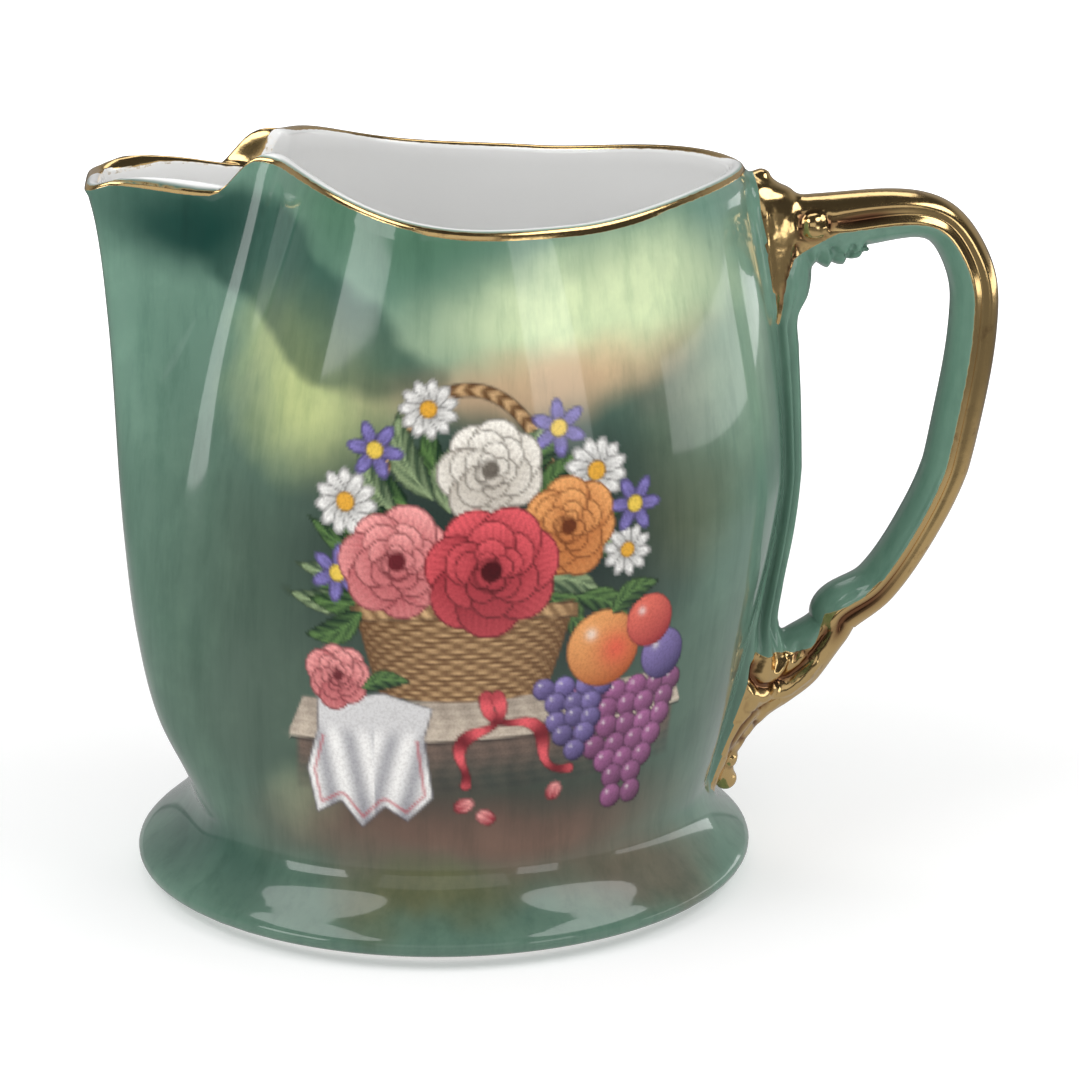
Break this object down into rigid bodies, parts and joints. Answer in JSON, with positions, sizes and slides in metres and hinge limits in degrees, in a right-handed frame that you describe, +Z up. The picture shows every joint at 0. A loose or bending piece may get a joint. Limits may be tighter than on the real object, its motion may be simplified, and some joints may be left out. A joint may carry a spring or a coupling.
{
  "type": "cream pitcher",
  "caption": "Small porcelain cream pitcher with a spreading round foot, an oval body pinched behind a channelled spout, and a scrolled handle.",
  "frame": {"origin": "middle of the bounding box on the plane that the foot stands on", "axes": "+Z up, +X out along the handle, -X out along the spout, so the broad sides face -Y and +Y"},
  "size_m": [0.1254, 0.087, 0.1031],
  "materials": {
    "porcelain": "clear-glazed porcelain, shaded teal green to yellow green and brown outside with a painted still life, white inside, with burnished gold on the rim and on the handle's outer half"
  },
  "bodies": {
    "root": {"pitcher": "porcelain"}
  },
  "joints": []
}
